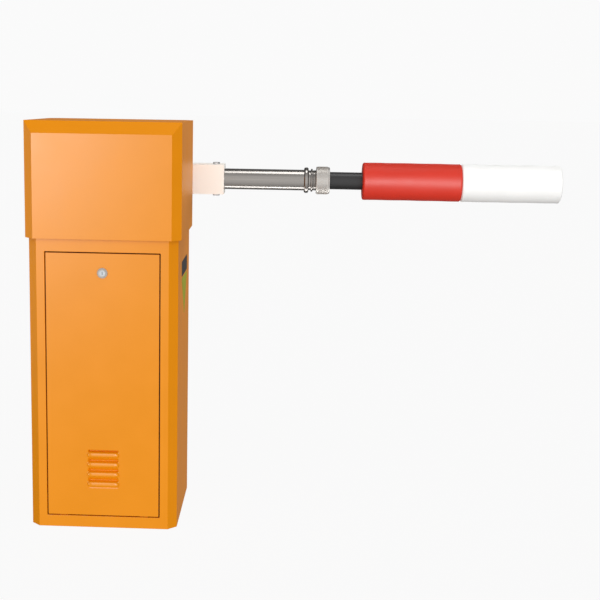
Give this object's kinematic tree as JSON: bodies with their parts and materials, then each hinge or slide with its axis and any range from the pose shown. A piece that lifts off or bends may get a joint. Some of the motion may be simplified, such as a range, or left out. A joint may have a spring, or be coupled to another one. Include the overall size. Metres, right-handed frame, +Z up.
{
  "type": "parking barrier gate",
  "caption": "Parking barrier gate: orange steel cabinet with a drive inside and a boom, a steel tube with red and white foam sleeves, that swings from level to upright.",
  "frame": {"origin": "centre of the anchor hole pattern, on the ground plane under the base plate", "axes": "+X along the level boom, +Y from the door to the boom side, +Z up"},
  "size_m": [1.347, 0.4655, 1],
  "materials": {
    "orange_paint": "smooth orange powder coat, low gloss",
    "white_paint": "smooth warm white powder coat",
    "grey_paint": "grey enamel",
    "motor_paint": "blue-grey enamel on ribbed aluminium",
    "zinc_steel": "bright zinc-plated steel",
    "bright_steel": "ground steel",
    "stainless": "polished stainless steel tube",
    "cast_iron": "painted cast iron",
    "nut_metal": "satin turned aluminium",
    "spring_steel": "oiled spring steel",
    "brass": "plain turned brass",
    "black_rubber": "matt black rubber",
    "black_tube": "satin black composite tube",
    "red_foam": "red foam in a grained vinyl skin",
    "white_foam": "white foam in a grained vinyl skin",
    "light_plastic": "light grey moulded plastic",
    "blue_plastic": "blue-grey moulded plastic",
    "red_plastic": "red moulded plastic",
    "black_plastic": "black moulded plastic",
    "can_metal": "plain drawn aluminium can"
  },
  "bodies": {
    "cabinet": {"base_plate": "zinc_steel", "cabinet_shell": "orange_paint", "door_seal": "black_rubber", "mechanism_plate": "zinc_steel", "plate_bolts": "zinc_steel", "front_bearing_wall": "grey_paint", "rear_bearing_wall": "grey_paint", "front_bearing": "cast_iron", "rear_bearing": "cast_iron", "shaft_shield": "orange_paint", "gearbox_bracket": "grey_paint", "gearbox_case": "motor_paint", "gearbox_cover": "can_metal", "gearbox_bolts": "zinc_steel", "motor_body": "motor_paint", "motor_fan_cover": "black_plastic", "motor_terminal_box": "black_plastic", "stop_brackets": "grey_paint", "stop_buffers": "black_rubber", "limit_switches": "red_plastic", "spring_anchor_bar": "grey_paint", "spring_adjusters": "zinc_steel", "control_box": "light_plastic", "control_lid": "light_plastic", "cable_glands": "black_plastic", "din_rail": "zinc_steel", "circuit_breaker": "light_plastic", "terminal_block": "blue_plastic", "capacitor": "can_metal", "hood_screws": "zinc_steel"},
    "door": {"door_panel": "orange_paint", "door_hooks": "orange_paint", "lock_body": "nut_metal"},
    "lock": {"lock_plug": "bright_steel", "lock_cam": "zinc_steel"},
    "hood": {"hood_shell": "orange_paint", "hood_brackets": "zinc_steel"},
    "boom": {"main_shaft": "bright_steel", "drive_lever": "grey_paint", "lever_pin": "bright_steel", "spring_lever": "grey_paint", "stop_arm": "grey_paint", "limit_cam": "light_plastic", "boom_hub": "cast_iron", "boom_holder": "white_paint", "hub_bolts": "zinc_steel", "holder_bolts": "zinc_steel", "boom_tube": "stainless", "coupling_body": "stainless", "collet": "brass", "inner_tube": "black_tube", "foam_red": "red_foam", "foam_white": "white_foam", "end_cap": "white_foam"},
    "nut": {"coupling_nut": "nut_metal"},
    "crank": {"gear_crank": "bright_steel"},
    "rod": {"link_rod": "zinc_steel"},
    "worm": {"worm_shaft": "red_plastic"},
    "eyes": {"spring_eyes": "zinc_steel"},
    "springs": {"balance_springs": "spring_steel"}
  },
  "joints": [
    {"name": "boom_swing", "type": "hinge", "parent": "cabinet", "child": "boom", "pos_m": [0, 0, 0.84], "axis": [0, -1, 0], "range_deg": [0, 90]},
    {"name": "crank_turn", "type": "hinge", "parent": "cabinet", "child": "crank", "pos_m": [0, 0, 0.59], "axis": [0, -1, 0], "range_deg": [0, 90]},
    {"name": "rod_swing", "type": "hinge", "parent": "boom", "child": "rod", "pos_m": [0.0495, 0, 0.7905], "axis": [0, 1, 0], "range_deg": [0, 90]},
    {"name": "eye_swing", "type": "hinge", "parent": "boom", "child": "eyes", "pos_m": [-0.06, 0, 0.84], "axis": [0, 1, 0], "range_deg": [0, 97.2]},
    {"name": "spring_tilt", "type": "hinge", "parent": "cabinet", "child": "springs", "pos_m": [-0.03, 0, 0.33], "axis": [0, 1, 0], "range_deg": [0, 7.2], "deforming": ["balance_springs"]},
    {"name": "worm_turn", "type": "hinge", "parent": "cabinet", "child": "worm", "pos_m": [0.058, -0.1, 0.59], "axis": [0, 0, 1], "range_deg": [0, 2700]},
    {"name": "nut_turn", "type": "hinge", "parent": "boom", "child": "nut", "pos_m": [0.5315, 0.237, 0.84], "axis": [1, 0, 0], "range_deg": [0, 360]},
    {"name": "door_tilt", "type": "hinge", "parent": "cabinet", "child": "door", "pos_m": [0, -0.171, 0.032], "axis": [1, 0, 0], "range_deg": [0, 25]},
    {"name": "lock_turn", "type": "hinge", "parent": "door", "child": "lock", "pos_m": [0, -0.171, 0.64], "axis": [0, -1, 0], "range_deg": [0, 90]},
    {"name": "hood_lift", "type": "slide", "parent": "cabinet", "child": "hood", "axis": [0, 0, 1], "range_m": [0, 0.2]}
  ],
  "couplings": [
    {"joint": "crank_turn", "follows": "boom_swing", "ratio": 1},
    {"joint": "rod_swing", "follows": "boom_swing", "ratio": 1},
    {"joint": "eye_swing", "follows": "boom_swing", "ratio": 1.0798},
    {"joint": "spring_tilt", "follows": "boom_swing", "ratio": 0.079784},
    {"joint": "worm_turn", "follows": "boom_swing", "ratio": 30}
  ]
}
